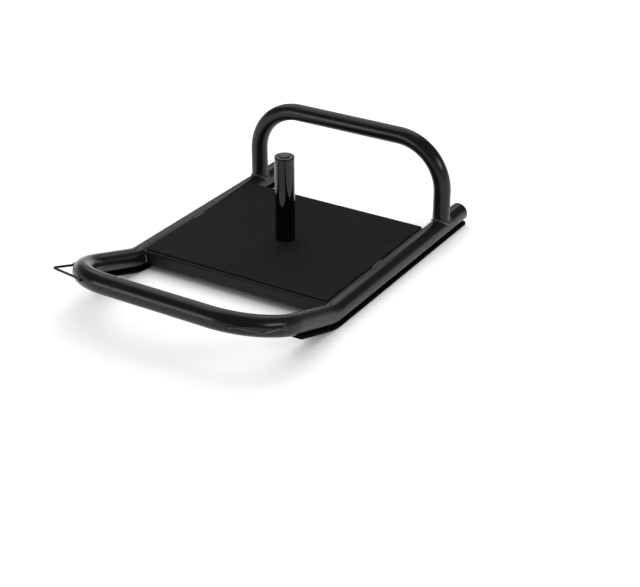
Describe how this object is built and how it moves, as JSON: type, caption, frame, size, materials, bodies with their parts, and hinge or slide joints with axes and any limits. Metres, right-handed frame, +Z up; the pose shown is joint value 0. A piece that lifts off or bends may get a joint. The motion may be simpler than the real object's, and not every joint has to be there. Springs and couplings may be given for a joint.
{
  "type": "drag sled",
  "caption": "Low tube-frame drag sled with an upturned front loop, an upright push handle, a flat deck with a weight post, corner tow rings and wear skids.",
  "frame": {"origin": "on the floor, at the middle of the outline in X and Y", "axes": "+X across to the right side, +Y to the rear where the handle is, +Z up; the upturned loop points to -Y"},
  "size_m": [0.619, 0.9787, 0.2815],
  "materials": {
    "frame_coat": "satin black powder coat on steel tube",
    "deck_coat": "satin black powder coat on folded steel sheet",
    "deck_mat": "matt black rubber with fine ribs",
    "post_enamel": "gloss black enamel on steel tube",
    "cap_plastic": "black moulded plastic, slightly satin",
    "skid_plastic": "black wear plastic, matt",
    "fastener_steel": "zinc-plated steel"
  },
  "bodies": {
    "root": {"frame_tube": "frame_coat", "handle_tube": "frame_coat", "handle_weld_left": "frame_coat", "handle_weld_right": "frame_coat", "deck_plate": "deck_coat", "deck_mat": "deck_mat", "deck_crossbar": "frame_coat", "deck_welds_left": "frame_coat", "deck_welds_right": "frame_coat", "crossbar_welds": "frame_coat", "post_tube": "post_enamel", "post_base_plug": "fastener_steel", "post_washer": "fastener_steel", "post_bolt": "fastener_steel", "post_cap": "cap_plastic", "rail_cap_left": "cap_plastic", "rail_cap_right": "cap_plastic", "skid_left": "skid_plastic", "skid_right": "skid_plastic", "skid_screws_left": "fastener_steel", "skid_screws_right": "fastener_steel", "tow_ring_left": "frame_coat", "tow_ring_right": "frame_coat", "tow_ring_weld_left": "frame_coat", "tow_ring_weld_right": "frame_coat"}
  },
  "joints": []
}
